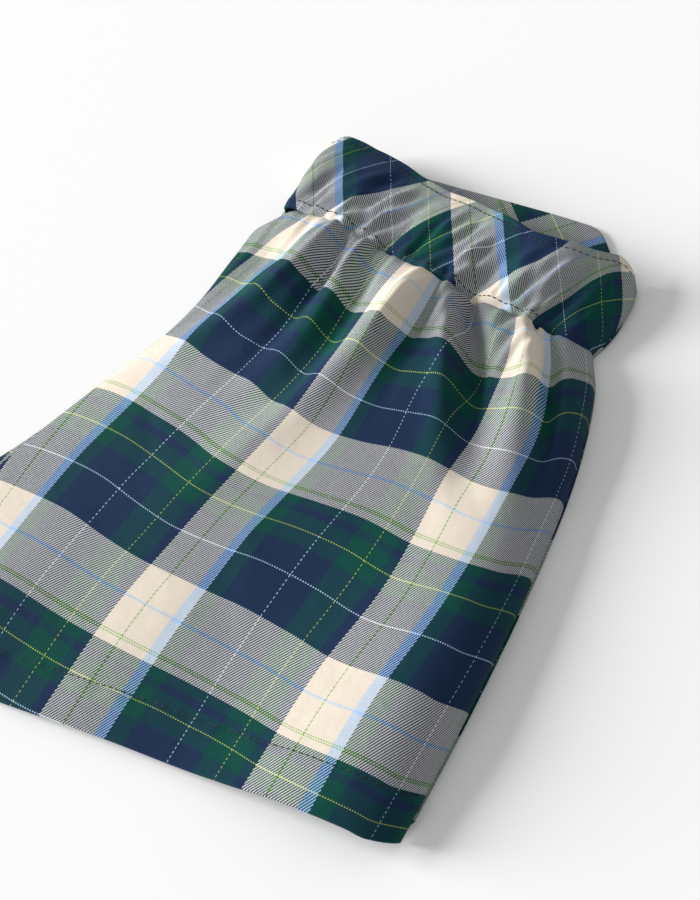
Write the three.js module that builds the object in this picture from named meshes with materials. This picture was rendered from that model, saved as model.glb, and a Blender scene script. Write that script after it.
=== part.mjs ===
// A child's plaid skort, laid out flat with its front up.
// Units are millimetres. +X runs across the garment, +Y from the hem to the waist, +Z up.
// The drawing's own zero is the middle of the front waist edge. BOX_CENTRE moves the finished
// group so that the garment's box stands centred over the origin, on the floor plane.
//
// "across" is a share of the half width: -1 at the left side, 0 in the middle, 1 at the right.
// "down" is a share of a panel's length: 0 at its top edge, 1 at its bottom edge.

import * as THREE from 'three';

const SKIRT_CLOTH = 1.2;
const BAND_CLOTH = 2.4;
const SHORTS_CLOTH = 1.0;
const SEAM_GAP = 0.3;
// The front pieces' side edges stand on the back pieces, which lie on the floor plane.
const SKIRT_FLOOR = SKIRT_CLOTH + SEAM_GAP;
const BAND_FLOOR = BAND_CLOTH + SEAM_GAP;
const BOX_CENTRE = { x: -3, y: -140.4 };

// The four long edges: the front waist edge, the back waist edge, the waist seam and the hem.
const ACROSS_EDGES = [
  { across: -1.0, frontTop: 18, backTop: 12, seam: -26, frontHem: -301, backHem: -297 },
  { across: -0.9, frontTop: 20, backTop: 19, seam: -26, frontHem: -300, backHem: -297 },
  { across: -0.55, frontTop: 15.5, backTop: 20, seam: -30, frontHem: -298.5, backHem: -294 },
  { across: -0.2, frontTop: 5.5, backTop: 20, seam: -38, frontHem: -296, backHem: -292 },
  { across: 0.15, frontTop: -1.5, backTop: 20, seam: -45, frontHem: -292, backHem: -289 },
  { across: 0.5, frontTop: -11.5, backTop: 19.5, seam: -50, frontHem: -289, backHem: -284.5 },
  { across: 0.65, frontTop: -11, backTop: 17.5, seam: -51.5, frontHem: -286.5, backHem: -280 },
  { across: 0.78, frontTop: -8, backTop: 7, seam: -52, frontHem: -284, backHem: -276 },
  { across: 0.85, frontTop: -5, backTop: -1, seam: -52, frontHem: -283, backHem: -277 },
  { across: 0.9, frontTop: -2.5, backTop: -6, seam: -52, frontHem: -283, backHem: -282 },
  { across: 0.94, frontTop: -1.5, backTop: -10, seam: -51.5, frontHem: -282, backHem: -281 },
  { across: 1.0, frontTop: -3, backTop: -17, seam: -50, frontHem: -280, backHem: -270 },
];

// The skirt's sides and how high its front stands, down from the waist seam. Its right side
// stands higher towards the hem, by rightLift.
const SKIRT_SECTIONS = [
  { down: 0.0, left: -86, right: 88, backLeft: -86, height: 15.5, rightLift: 0 },
  { down: 0.08, left: -88.5, right: 98, backLeft: -88.5, height: 19, rightLift: 0 },
  { down: 0.2, left: -88.5, right: 107, backLeft: -88.5, height: 20.5, rightLift: 0 },
  { down: 0.32, left: -94, right: 113.5, backLeft: -94, height: 19, rightLift: 0 },
  { down: 0.45, left: -104, right: 118.5, backLeft: -104, height: 16, rightLift: 0 },
  { down: 0.58, left: -113, right: 122.5, backLeft: -114, height: 12.5, rightLift: 1.5 },
  { down: 0.68, left: -118, right: 125, backLeft: -124, height: 10, rightLift: 3 },
  { down: 0.82, left: -124.5, right: 128, backLeft: -131, height: 7.5, rightLift: 4.5 },
  { down: 1.0, left: -131, right: 131, backLeft: -137, height: 4.2, rightLift: 4.5 },
];

// The waistband's sides, down from the waist edge.
const BAND_SECTIONS = [
  { down: 0.0, left: -80, right: 85 },
  { down: 0.15, left: -83, right: 89 },
  { down: 0.4, left: -86, right: 91 },
  { down: 0.7, left: -87, right: 90.5 },
  { down: 1.0, left: -86, right: 88 },
];

// How high the front waist edge and the front waist seam stand over the floor.
const BAND_HEIGHTS = [
  { across: -1.0, top: 20, seam: 14.5 },
  { across: -0.6, top: 16, seam: 15.5 },
  { across: -0.15, top: 17.5, seam: 15.5 },
  { across: 0.2, top: 21.5, seam: 16 },
  { across: 0.5, top: 26, seam: 16.5 },
  { across: 0.72, top: 26, seam: 16.5 },
  { across: 1.0, top: 18, seam: 15.5 },
];

// Folds of the skirt front. A positive rise is a ridge, a negative one a valley.
// "start" and "end" are across, at the seam and where the fold dies out; "reach" is down.
const SKIRT_FOLDS = [
  { start: -0.82, end: -0.93, reach: 0.35, width: 0.05, rise: -2.5 },
  { start: -0.54, end: -0.98, reach: 0.5, width: 0.08, rise: 7 },
  { start: -0.46, end: -0.5, reach: 0.45, width: 0.05, rise: -5 },
  { start: -0.35, end: -0.35, reach: 0.4, width: 0.05, rise: 2 },
  { start: -0.26, end: -0.19, reach: 0.5, width: 0.07, rise: -5.5 },
  { start: 0.06, end: -0.28, reach: 0.7, width: 0.075, rise: 7 },
  { start: 0.12, end: 0.19, reach: 0.4, width: 0.05, rise: -3 },
  { start: 0.21, end: 0.65, reach: 0.5, width: 0.07, rise: 5 },
  { start: 0.33, end: 0.72, reach: 0.45, width: 0.075, rise: -9 },
  { start: 0.69, end: 0.84, reach: 0.5, width: 0.065, rise: 6.5 },
  { start: 0.78, end: 0.95, reach: 0.45, width: 0.035, rise: -5 },
  { start: 0.89, end: 0.99, reach: 0.4, width: 0.045, rise: 3.5 },
];
const FOLD_GROWTH = { atSeam: 0.4, grownBy: 0.1, diesFrom: 0.12 };

// Puckers of the front waistband, from a pinch at the seam up to the waist edge.
const BAND_PUCKERS = [
  { seam: -0.82, top: -0.72, width: 0.05, rise: -1.8 },
  { seam: -0.56, top: -0.38, width: 0.07, rise: -3 },
  { seam: -0.28, top: -0.14, width: 0.05, rise: -1.8 },
  { seam: -0.02, top: 0.16, width: 0.07, rise: -3.2 },
  { seam: 0.33, top: 0.46, width: 0.06, rise: -3.2 },
  { seam: 0.55, top: 0.64, width: 0.04, rise: -1.6 },
  { seam: 0.72, top: 0.82, width: 0.06, rise: -3 },
  { seam: 0.92, top: 0.95, width: 0.03, rise: -1.2 },
];

const PUCKER_GROWTH = { atEdge: 0.25, grownBy: 0.7, pinchPower: 6 };
const BAND_PUFF = 3;
const SEAM_LIFT_REACH = 0.15;
const RIGHT_LIFT = { centre: 0.72, width: 0.34 };
const HEM_WAVE = { rise: 0.7, length: 0.62, from: 0.55 };
const SIDE_ROUNDNESS = 3;
const LEFT_SLOPE = { roundness: 1.3, steepness: 0.8, grownBy: 0.12 };

const SHORTS = {
  top: 0.012, hem: 0.75, crotch: 0.47, middle: 0.1, half: 0.7, legGap: 12, rowCount: 12,
};

const SKIRT_FRONT_GRID = { columns: 88, rows: 30 };
const BAND_FRONT_GRID = { columns: 88, rows: 8 };
const SKIRT_BACK_GRID = { columns: 20, rows: 14 };
const BAND_BACK_GRID = { columns: 20, rows: 4 };

const COLOURS = { skirt: 0x2b4a52, band: 0x3f5560, shorts: 0x25345c };

function smoothStep(from, to, value) {
  const share = THREE.MathUtils.clamp((value - from) / (to - from), 0, 1);
  return share * share * (3 - 2 * share);
}

// A smooth curve through one column of a table, read at one value of its first column.
function follow(rows, key, column, value) {
  const last = rows.length - 1;
  const at = THREE.MathUtils.clamp(value, rows[0][key], rows[last][key]);
  let span = 0;
  while (span < last - 1 && rows[span + 1][key] < at) span += 1;
  const slope = (index) => {
    const before = rows[Math.max(index - 1, 0)];
    const after = rows[Math.min(index + 1, last)];
    return (after[column] - before[column]) / (after[key] - before[key]);
  };
  const start = rows[span];
  const end = rows[span + 1];
  const length = end[key] - start[key];
  const u = (at - start[key]) / length;
  const ease = u * u * (3 - 2 * u);
  const lead = u * (1 - u) * (1 - u) * length * slope(span);
  const trail = u * u * (u - 1) * length * slope(span + 1);
  return start[column] + (end[column] - start[column]) * ease + lead + trail;
}

const edge = (column, across) => follow(ACROSS_EDGES, 'across', column, across);

function acrossToX(sections, leftColumn, across, down) {
  const left = follow(sections, 'down', leftColumn, down);
  const right = follow(sections, 'down', 'right', down);
  return (left + right) / 2 + (across * (right - left)) / 2;
}

// The height of a rounded side: full in the middle of the panel, nothing at its edge.
function sideFall(across) {
  const share = Math.min(Math.abs(across), 1);
  return (1 - share ** SIDE_ROUNDNESS) ** (1 / SIDE_ROUNDNESS);
}

// The skirt's side fall. Below the waist its left half slopes down more gently.
function skirtSideFall(across, down) {
  if (across >= 0) return sideFall(across);
  const share = Math.min(-across, 1);
  const slope = (1 - share ** LEFT_SLOPE.roundness) ** LEFT_SLOPE.steepness;
  return THREE.MathUtils.lerp(sideFall(across), slope, smoothStep(0, LEFT_SLOPE.grownBy, down));
}

const bump = (distance, width) => Math.exp(-((distance / width) ** 2));

function skirtFoldHeight(across, down) {
  let height = 0;
  for (const fold of SKIRT_FOLDS) {
    const middle = THREE.MathUtils.lerp(fold.start, fold.end, Math.min(down / fold.reach, 1));
    const grown = THREE.MathUtils.lerp(FOLD_GROWTH.atSeam, 1,
      smoothStep(0, FOLD_GROWTH.grownBy, down));
    const dying = 1 - smoothStep(FOLD_GROWTH.diesFrom, fold.reach, down);
    height += fold.rise * grown * dying * bump(across - middle, fold.width * (1 + down));
  }
  const wave = Math.cos((across / HEM_WAVE.length) * 2 * Math.PI);
  return height + HEM_WAVE.rise * wave * smoothStep(HEM_WAVE.from, 1, down);
}

function bandPuckerHeight(across, down) {
  let height = 0;
  for (const pucker of BAND_PUCKERS) {
    const middle = THREE.MathUtils.lerp(pucker.top, pucker.seam, down);
    const depth = THREE.MathUtils.lerp(PUCKER_GROWTH.atEdge, 1,
      smoothStep(0, PUCKER_GROWTH.grownBy, down));
    height += pucker.rise * depth * bump(across - middle, pucker.width);
  }
  return height;
}

// Outer face of the skirt front, from the waist seam down to the hem.
function skirtFront(across, down) {
  const floor = SKIRT_FLOOR;
  const seam = edge('seam', across) - SEAM_GAP / 2;
  const y = THREE.MathUtils.lerp(seam, edge('frontHem', across), down);
  const seamLift = follow(BAND_HEIGHTS, 'across', 'seam', across) - SKIRT_SECTIONS[0].height;
  const crown = follow(SKIRT_SECTIONS, 'down', 'height', down)
    + seamLift * (1 - smoothStep(0, SEAM_LIFT_REACH, down));
  const rightLift = follow(SKIRT_SECTIONS, 'down', 'rightLift', down)
    * bump(across - RIGHT_LIFT.centre, RIGHT_LIFT.width);
  const height = (crown - floor) * skirtSideFall(across, down)
    + (skirtFoldHeight(across, down) + rightLift) * sideFall(across);
  return new THREE.Vector3(acrossToX(SKIRT_SECTIONS, 'left', across, down), y, floor + height);
}

// Outer face of the front waistband, from the waist edge down to the waist seam.
function bandFront(across, down) {
  const floor = BAND_FLOOR;
  const seam = edge('seam', across) + SEAM_GAP / 2;
  const y = THREE.MathUtils.lerp(edge('frontTop', across), seam, down);
  const top = follow(BAND_HEIGHTS, 'across', 'top', across);
  const low = follow(BAND_HEIGHTS, 'across', 'seam', across) + skirtFoldHeight(across, 0);
  const puff = BAND_PUFF * Math.sin(Math.PI * down)
    + bandPuckerHeight(across, down) * (1 - down ** PUCKER_GROWTH.pinchPower);
  const height = (THREE.MathUtils.lerp(top, low, down) + puff - floor) * sideFall(across);
  return new THREE.Vector3(acrossToX(BAND_SECTIONS, 'left', across, down), y, floor + height);
}

// A closed wall of cloth under an outer face. Its ends are square to Y, its side edges upright,
// and none of it is lower than the floor that it lies on.
function clothWall(face, grid, thickness, floor) {
  const { columns: columnCount, rows: rowCount } = grid;
  const step = 1e-3;
  const outer = [];
  const inner = [];
  for (let row = 0; row <= rowCount; row += 1) {
    const down = row / rowCount;
    for (let column = 0; column <= columnCount; column += 1) {
      const across = Math.sin(((column / columnCount) * 2 - 1) * Math.PI * 0.5);
      const point = face(across, down);
      const inside = THREE.MathUtils.clamp(across, step - 1, 1 - step);
      const sideways = face(inside + step, down).sub(face(inside - step, down));
      const upper = Math.max(down - step, 0);
      const lower = Math.min(down + step, 1);
      const along = face(inside, upper).sub(face(inside, lower));
      const normal = sideways.cross(along);
      if (row === 0 || row === rowCount) normal.y = 0;
      if (column === 0 || column === columnCount) normal.z = 0;
      outer.push(point);
      const under = point.clone().addScaledVector(normal.normalize(), -thickness);
      under.z = Math.max(under.z, floor);
      inner.push(under);
    }
  }
  const points = outer.concat(inner);
  const innerStart = outer.length;
  const at = (row, column) => row * (columnCount + 1) + column;
  const triangles = [];
  const quad = (a, b, c, d) => triangles.push(a, b, c, a, c, d);
  for (let row = 0; row < rowCount; row += 1) {
    for (let column = 0; column < columnCount; column += 1) {
      const corners = [at(row, column), at(row + 1, column), at(row + 1, column + 1), at(row, column + 1)];
      const below = corners.map((corner) => corner + innerStart).reverse();
      quad(...corners);
      quad(...below);
    }
  }
  const wallEnd = (a, b) => quad(b, a, a + innerStart, b + innerStart);
  for (let column = 0; column < columnCount; column += 1) {
    wallEnd(at(0, column + 1), at(0, column));
    wallEnd(at(rowCount, column), at(rowCount, column + 1));
  }
  for (let row = 0; row < rowCount; row += 1) {
    wallEnd(at(row, 0), at(row + 1, 0));
    wallEnd(at(row + 1, columnCount), at(row, columnCount));
  }
  const geometry = new THREE.BufferGeometry();
  const positions = points.flatMap((point) => [point.x, point.y, point.z]);
  geometry.setAttribute('position', new THREE.Float32BufferAttribute(positions, 3));
  geometry.setIndex(triangles);
  geometry.computeVertexNormals();
  return geometry;
}

// A flat piece of cloth cut to an outline, lying at a height over the floor.
function flatCloth(outline, height, thickness) {
  const shape = new THREE.Shape(outline);
  const geometry = new THREE.ExtrudeGeometry(shape, { depth: thickness, bevelEnabled: false });
  geometry.translate(0, 0, height);
  return geometry;
}

const steps = (count) => Array.from({ length: count + 1 }, (_, index) => index / count);

function skirtBackPoint(across, down) {
  const seam = edge('seam', across) - SEAM_GAP / 2;
  const y = THREE.MathUtils.lerp(seam, edge('backHem', across), down);
  return new THREE.Vector2(acrossToX(SKIRT_SECTIONS, 'backLeft', across, down), y);
}

function bandBackPoint(across, down) {
  const seam = edge('seam', across) + SEAM_GAP / 2;
  const y = THREE.MathUtils.lerp(edge('backTop', across), seam, down);
  return new THREE.Vector2(acrossToX(BAND_SECTIONS, 'left', across, down), y);
}

// Walks round a panel: down its left side, along its bottom, up its right side and back.
function panelOutline(pointAt, grid) {
  const columns = steps(grid.columns).map((share) => share * 2 - 1);
  const rows = steps(grid.rows);
  return [
    ...rows.map((down) => pointAt(-1, down)),
    ...columns.slice(1).map((across) => pointAt(across, 1)),
    ...rows.reverse().slice(1).map((down) => pointAt(1, down)),
    ...columns.reverse().slice(1, -1).map((across) => pointAt(across, 0)),
  ];
}

// One quarter of the shorts: side edge, leg hem, inseam, crotch and centre seam.
function shortsOutline(side) {
  const sideEdge = [];
  const centreEdge = [];
  for (const share of steps(SHORTS.rowCount)) {
    const down = THREE.MathUtils.lerp(SHORTS.top, SHORTS.hem, share);
    const outerPoint = skirtBackPoint(SHORTS.middle + side * SHORTS.half, down);
    const middle = skirtBackPoint(SHORTS.middle, down);
    const opened = smoothStep(SHORTS.crotch, SHORTS.hem, down) ** 0.5;
    const half = SEAM_GAP / 2 + (SHORTS.legGap / 2) * opened;
    sideEdge.push(outerPoint);
    centreEdge.push(new THREE.Vector2(middle.x + side * half, middle.y));
  }
  return [...sideEdge, ...centreEdge.reverse()];
}

function addPiece(group, name, geometry, colour) {
  const material = new THREE.MeshStandardMaterial({ color: colour, roughness: 0.9, metalness: 0 });
  const mesh = new THREE.Mesh(geometry, material);
  mesh.name = name;
  group.add(mesh);
}

const skort = new THREE.Group();
skort.position.set(-BOX_CENTRE.x, -BOX_CENTRE.y, 0);

addPiece(skort, 'skirt_front', clothWall(skirtFront, SKIRT_FRONT_GRID, SKIRT_CLOTH, SKIRT_FLOOR),
  COLOURS.skirt);
addPiece(skort, 'waistband_front', clothWall(bandFront, BAND_FRONT_GRID, BAND_CLOTH, BAND_FLOOR),
  COLOURS.band);

const backSkirt = panelOutline(skirtBackPoint, SKIRT_BACK_GRID);
addPiece(skort, 'skirt_back', flatCloth(backSkirt, 0, SKIRT_CLOTH), COLOURS.skirt);
const backBand = panelOutline(bandBackPoint, BAND_BACK_GRID);
addPiece(skort, 'waistband_back', flatCloth(backBand, 0, BAND_CLOTH), COLOURS.band);

const backShortsHeight = SKIRT_FLOOR;
const frontShortsHeight = backShortsHeight + SHORTS_CLOTH + SEAM_GAP;
for (const { name, side } of [{ name: 'left', side: -1 }, { name: 'right', side: 1 }]) {
  const outline = shortsOutline(side);
  const back = flatCloth(outline, backShortsHeight, SHORTS_CLOTH);
  const front = flatCloth(outline, frontShortsHeight, SHORTS_CLOTH);
  addPiece(skort, `shorts_back_${name}`, back, COLOURS.shorts);
  addPiece(skort, `shorts_front_${name}`, front, COLOURS.shorts);
}

export default skort;
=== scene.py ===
"""A child's plaid skort, laid out flat with its front up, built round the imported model.

Lengths in the tables are millimetres in the drawing's own frame, whose zero is the middle of the
front waist edge: x runs to the garment's right, y from the hem to the waist and z up. BOX_CENTRE
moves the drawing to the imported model's frame.

"across" is a share of the half width: -1 at the left side, 0 in the middle, 1 at the right.
"down" is a share of a panel's length: 0 at its top edge, 1 at its bottom edge.
"""

import math
from collections import namedtuple

import bpy
import numpy as np
from mathutils import Matrix, Vector


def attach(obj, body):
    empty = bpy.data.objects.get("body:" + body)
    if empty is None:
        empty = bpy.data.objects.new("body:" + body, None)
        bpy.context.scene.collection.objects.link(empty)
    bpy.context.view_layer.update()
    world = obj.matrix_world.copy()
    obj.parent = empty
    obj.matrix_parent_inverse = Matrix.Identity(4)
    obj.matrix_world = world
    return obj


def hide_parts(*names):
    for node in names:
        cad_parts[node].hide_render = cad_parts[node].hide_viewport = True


bl_info = {
    "name": "Plaid skort",
    "version": (1, 0, 0),
    "blender": (4, 5, 0),
    "location": "View3D > Sidebar > Skort",
    "description": "Makes a child's plaid skort, laid out flat",
    "category": "Add Mesh",
}

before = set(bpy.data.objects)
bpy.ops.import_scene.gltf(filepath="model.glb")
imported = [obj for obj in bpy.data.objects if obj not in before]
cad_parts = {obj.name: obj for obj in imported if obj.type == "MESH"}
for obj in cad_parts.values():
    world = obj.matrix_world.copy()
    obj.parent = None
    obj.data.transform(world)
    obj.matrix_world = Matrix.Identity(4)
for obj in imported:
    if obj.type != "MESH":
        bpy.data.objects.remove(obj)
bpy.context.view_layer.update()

MM = 0.001
BOX_CENTRE = (-3.0, -140.4)

# --- Form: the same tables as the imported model's ---

Edge = namedtuple("Edge", "across front_top back_top seam front_hem back_hem")
EDGES = (
    Edge(-1.0, 18, 12, -26, -301, -297),
    Edge(-0.9, 20, 19, -26, -300, -297),
    Edge(-0.55, 15.5, 20, -30, -298.5, -294),
    Edge(-0.2, 5.5, 20, -38, -296, -292),
    Edge(0.15, -1.5, 20, -45, -292, -289),
    Edge(0.5, -11.5, 19.5, -50, -289, -284.5),
    Edge(0.65, -11, 17.5, -51.5, -286.5, -280),
    Edge(0.78, -8, 7, -52, -284, -276),
    Edge(0.85, -5, -1, -52, -283, -277),
    Edge(0.9, -2.5, -6, -52, -283, -282),
    Edge(0.94, -1.5, -10, -51.5, -282, -281),
    Edge(1.0, -3, -17, -50, -280, -270),
)

SkirtSection = namedtuple("SkirtSection", "down left right back_left height right_lift")
SKIRT_SECTIONS = (
    SkirtSection(0.0, -86, 88, -86, 15.5, 0),
    SkirtSection(0.08, -88.5, 98, -88.5, 19, 0),
    SkirtSection(0.2, -88.5, 107, -88.5, 20.5, 0),
    SkirtSection(0.32, -94, 113.5, -94, 19, 0),
    SkirtSection(0.45, -104, 118.5, -104, 16, 0),
    SkirtSection(0.58, -113, 122.5, -114, 12.5, 1.5),
    SkirtSection(0.68, -118, 125, -124, 10, 3),
    SkirtSection(0.82, -124.5, 128, -131, 7.5, 4.5),
    SkirtSection(1.0, -131, 131, -137, 4.2, 4.5),
)

BandSection = namedtuple("BandSection", "down left right")
BAND_SECTIONS = (
    BandSection(0.0, -80, 85),
    BandSection(0.15, -83, 89),
    BandSection(0.4, -86, 91),
    BandSection(0.7, -87, 90.5),
    BandSection(1.0, -86, 88),
)

BandHeight = namedtuple("BandHeight", "across top seam")
BAND_HEIGHTS = (
    BandHeight(-1.0, 20, 14.5),
    BandHeight(-0.6, 16, 15.5),
    BandHeight(-0.15, 17.5, 15.5),
    BandHeight(0.2, 21.5, 16),
    BandHeight(0.5, 26, 16.5),
    BandHeight(0.72, 26, 16.5),
    BandHeight(1.0, 18, 15.5),
)

# A fold's place is across, at the seam and where it dies out; "reach" is down.
Fold = namedtuple("Fold", "start end reach width rise")
SKIRT_FOLDS = (
    Fold(-0.82, -0.93, 0.35, 0.05, -2.5),
    Fold(-0.54, -0.98, 0.5, 0.08, 7),
    Fold(-0.46, -0.5, 0.45, 0.05, -5),
    Fold(-0.35, -0.35, 0.4, 0.05, 2),
    Fold(-0.26, -0.19, 0.5, 0.07, -5.5),
    Fold(0.06, -0.28, 0.7, 0.075, 7),
    Fold(0.12, 0.19, 0.4, 0.05, -3),
    Fold(0.21, 0.65, 0.5, 0.07, 5),
    Fold(0.33, 0.72, 0.45, 0.075, -9),
    Fold(0.69, 0.84, 0.5, 0.065, 6.5),
    Fold(0.78, 0.95, 0.45, 0.035, -5),
    Fold(0.89, 0.99, 0.4, 0.045, 3.5),
)

Pucker = namedtuple("Pucker", "seam top width rise")
BAND_PUCKERS = (
    Pucker(-0.82, -0.72, 0.05, -1.8),
    Pucker(-0.56, -0.38, 0.07, -3),
    Pucker(-0.28, -0.14, 0.05, -1.8),
    Pucker(-0.02, 0.16, 0.07, -3.2),
    Pucker(0.33, 0.46, 0.06, -3.2),
    Pucker(0.55, 0.64, 0.04, -1.6),
    Pucker(0.72, 0.82, 0.06, -3),
    Pucker(0.92, 0.95, 0.03, -1.2),
)

# How folds and puckers start, where they are full grown and where folds begin to die out.
FOLD_AT_SEAM, FOLD_GROWN_BY, FOLD_DIES_FROM = 0.4, 0.1, 0.12
PUCKER_AT_EDGE, PUCKER_GROWN_BY, PINCH_POWER = 0.25, 0.7, 6
# How full the band is, how far down the seam's height is felt, where the right side is lifted,
# the calm waves at the hem and the roundness of the sides.
BAND_PUFF = 3
SEAM_LIFT_REACH = 0.15
LIFT_CENTRE, LIFT_WIDTH = 0.72, 0.34
HEM_WAVE_RISE, HEM_WAVE_LENGTH, HEM_WAVE_FROM = 0.7, 0.62, 0.55
SIDE_ROUNDNESS = 3
LEFT_ROUNDNESS, LEFT_STEEPNESS, LEFT_GROWN_BY = 1.3, 0.8, 0.12
# Thickness of the skirt's back, and the height of the upper face of each panel that lies flat.
BACK_CLOTH = 1.2
SKIRT_BACK_TOP, BAND_BACK_TOP = 1.2, 2.4
SHORTS_TOPS = {"back": 2.5, "front": 3.8}

# --- Finer form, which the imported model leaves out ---

# How much more the right side stands up. What stands up also leans to the right and forwards.
Puff = namedtuple("Puff", "down rise")
SIDE_PUFFS = (
    Puff(0.12, 0),
    Puff(0.3, 2),
    Puff(0.5, 7.5),
    Puff(0.65, 11),
    Puff(0.8, 13),
    Puff(1.0, 11),
)
PUFF_LEAN = (0.62, -0.66)
PUFF_MIDDLE, PUFF_WIDTH = 0.9, 0.26

# The band's left end is folded more squarely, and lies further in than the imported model's.
LeftEnd = namedtuple("LeftEnd", "down inward")
BAND_LEFT_ENDS = (
    LeftEnd(0.0, 0.5),
    LeftEnd(0.25, 3.4),
    LeftEnd(0.5, 5.2),
    LeftEnd(0.75, 6.0),
    LeftEnd(1.0, 4.0),
)
BAND_SQUARENESS, LEFT_END_STARTS = 8, -0.7
# Under it the skirt's left side starts further in, and then stands further out.
SHOULDER_IN, SHOULDER_OUT = 3.5, -3.0
SHOULDER_GROWN_BY, SHOULDER_FROM, SHOULDER_END = 0.06, 0.12, 0.32

# A crease runs between two points in plan. A positive rise is a ridge, a negative one a trough.
# It starts within a short share of its length, then dies out between two and gets wider.
CREASE_START, CREASE_DIES, CREASE_ENDS, CREASE_SPREAD = 0.12, 0.45, 1.15, 0.5
Crease = namedtuple("Crease", "x0 y0 x1 y1 width rise")
SKIRT_CREASES = (
    Crease(-78, -30, -84, -62, 2.2, -0.9),
    Crease(-62, -31, -70, -70, 2.4, -1.0),
    Crease(-45, -33, -52, -66, 2.0, -0.9),
    Crease(-30, -37, -33, -74, 2.2, 0.9),
    Crease(-14, -40, -17, -72, 1.8, -0.9),
    Crease(4, -45, 2, -92, 2.6, 1.0),
    Crease(16, -47, 18, -78, 1.9, -1.0),
    Crease(33, -49, 38, -82, 2.3, -0.9),
    Crease(47, -51, 52, -76, 1.8, 0.8),
    Crease(60, -52, 66, -96, 2.4, 0.9),
    Crease(72, -52, 80, -80, 1.9, -0.9),
    Crease(63.8, -52.5, 66.5, -59, 1.7, -4.5),
    Crease(68, -54, 102, -114, 1.5, -1.6),
    Crease(31, -48.5, 43, -74, 1.8, -2.2),
    Crease(6.5, -58, 9, -114, 1.6, 1.0),
    Crease(-42, -31.5, -38, -45, 1.6, -1.8),
    Crease(-41, -38, -35, -66, 2.6, -1.6),
    Crease(-54, -33, -60, -58, 2.4, 0.9),
    Crease(-70, -150, -40, -196, 5.0, -0.5),
    Crease(10, -190, 40, -236, 6.0, 0.5),
    Crease(70, -150, 84, -220, 6.0, -0.6),
)
BAND_CREASES = (
    Crease(-57, -30, -48, -12, 1.4, -1.3),
    Crease(-66, -26, -60, -8, 1.5, -1.2),
    Crease(-36, -32, -30, -12, 1.3, -1.2),
    Crease(14, -42, 19, -24, 1.4, -1.5),
    Crease(41, -46, 43, -30, 1.4, -1.5),
    Crease(62, -48, 66, -30, 1.3, -1.4),
    Crease(-20, -37, -12, -14, 1.4, -1.2),
    Crease(-7, -38, 1, -12, 1.6, -1.8),
    Crease(25, -36, 29, -20, 1.7, -1.6),
    Crease(50, -46, 54, -22, 1.5, -1.4),
    Crease(79, -42, 83, -20, 1.5, -1.0),
    Crease(-50, -26, -41, -6, 1.5, -1.3),
    Crease(-74, -24, -58, 6, 2.0, -1.0),
    Crease(6, -40, 23, -8, 2.2, -1.2),
    Crease(36, -44, 50, -14, 2.2, -1.1),
    Crease(-32, -34, -18, -6, 2.0, -1.0),
    Crease(-4, -41, 8, -22, 1.3, 0.6),
    Crease(28, -48, 38, -24, 1.4, -0.9),
    Crease(56, -50, 62, -18, 1.4, -0.8),
    Crease(70, -50, 74, -24, 1.2, 0.6),
)

# Fine relief: a ripple, told apart by its seed, and gathers that lean by their slant. Both grow in
# or die out between two places down the panel. Odd factors keep them uneven.
Ripple = namedtuple("Ripple", "height length seed start end")
SKIRT_RIPPLE = Ripple(0.35, 9, 2, 0.05, 0.3)
BAND_RIPPLE = Ripple(0.3, 5, 5, 0, 0.3)
Gathers = namedtuple("Gathers", "height length slant start end")
SKIRT_GATHERS = Gathers(0.9, 1.4, -0.15, 0.24, 0.03)
BAND_GATHERS = Gathers(1.2, 1.5, -0.6, 0.08, 0.4)

# Stitching pulls the cloth in, by a depth that waves along it. On the band it does so this far
# below the last row.
Pull = namedtuple("Pull", "depth wave wave_length width")
HEM_PULL = Pull(0.32, 0.16, 1.3, 1.0)
BAND_PULL = Pull(0.3, 0.12, 1.2, 0.9)
BAND_PULL_BELOW = 2.6
# The turned-up hem stands a step above the cloth, and puckers just below its stitching.
HEM_STEP, HEM_STEP_WIDTH = 0.35, 0.9
HEM_PUCKER, HEM_PUCKER_LENGTH, HEM_PUCKER_BELOW, HEM_PUCKER_WIDTH = 0.2, 3.1, 2.5, 4
# The seam between the band and the skirt lies in a groove.
GROOVE, SKIRT_GROOVE_WIDTH, BAND_GROOVE_WIDTH = 1.3, 1.3, 1.2

# Where the plaid's yarns lie on the skirt front, in repeats, counted from the left and the waist:
# at eleven even places across, for each place down.
PlaidRow = namedtuple("PlaidRow", "down places")
WARP_PLACES = (
    PlaidRow(0, (0.481, 0.900, 1.339, 1.656, 1.865, 2.098, 2.397, 2.663, 2.970, 3.333, 3.658)),
    PlaidRow(0.12, (0.796, 1.264, 1.514, 1.717, 1.918, 2.132, 2.429, 2.697, 2.967, 3.287, 3.626)),
    PlaidRow(0.25, (1.068, 1.364, 1.525, 1.702, 1.901, 2.142, 2.488, 2.741, 3.006, 3.243, 3.623)),
    PlaidRow(0.4, (1.130, 1.299, 1.510, 1.703, 1.891, 2.131, 2.446, 2.723, 3.026, 3.287, 3.654)),
    PlaidRow(0.6, (1.011, 1.237, 1.505, 1.717, 1.943, 2.219, 2.515, 2.760, 3.020, 3.342, 3.678)),
    PlaidRow(0.8, (0.821, 1.123, 1.451, 1.722, 1.971, 2.235, 2.516, 2.793, 3.083, 3.410, 3.706)),
    PlaidRow(1, (0.662, 1.010, 1.347, 1.651, 1.927, 2.198, 2.491, 2.778, 3.089, 3.405, 3.748)),
)
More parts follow.
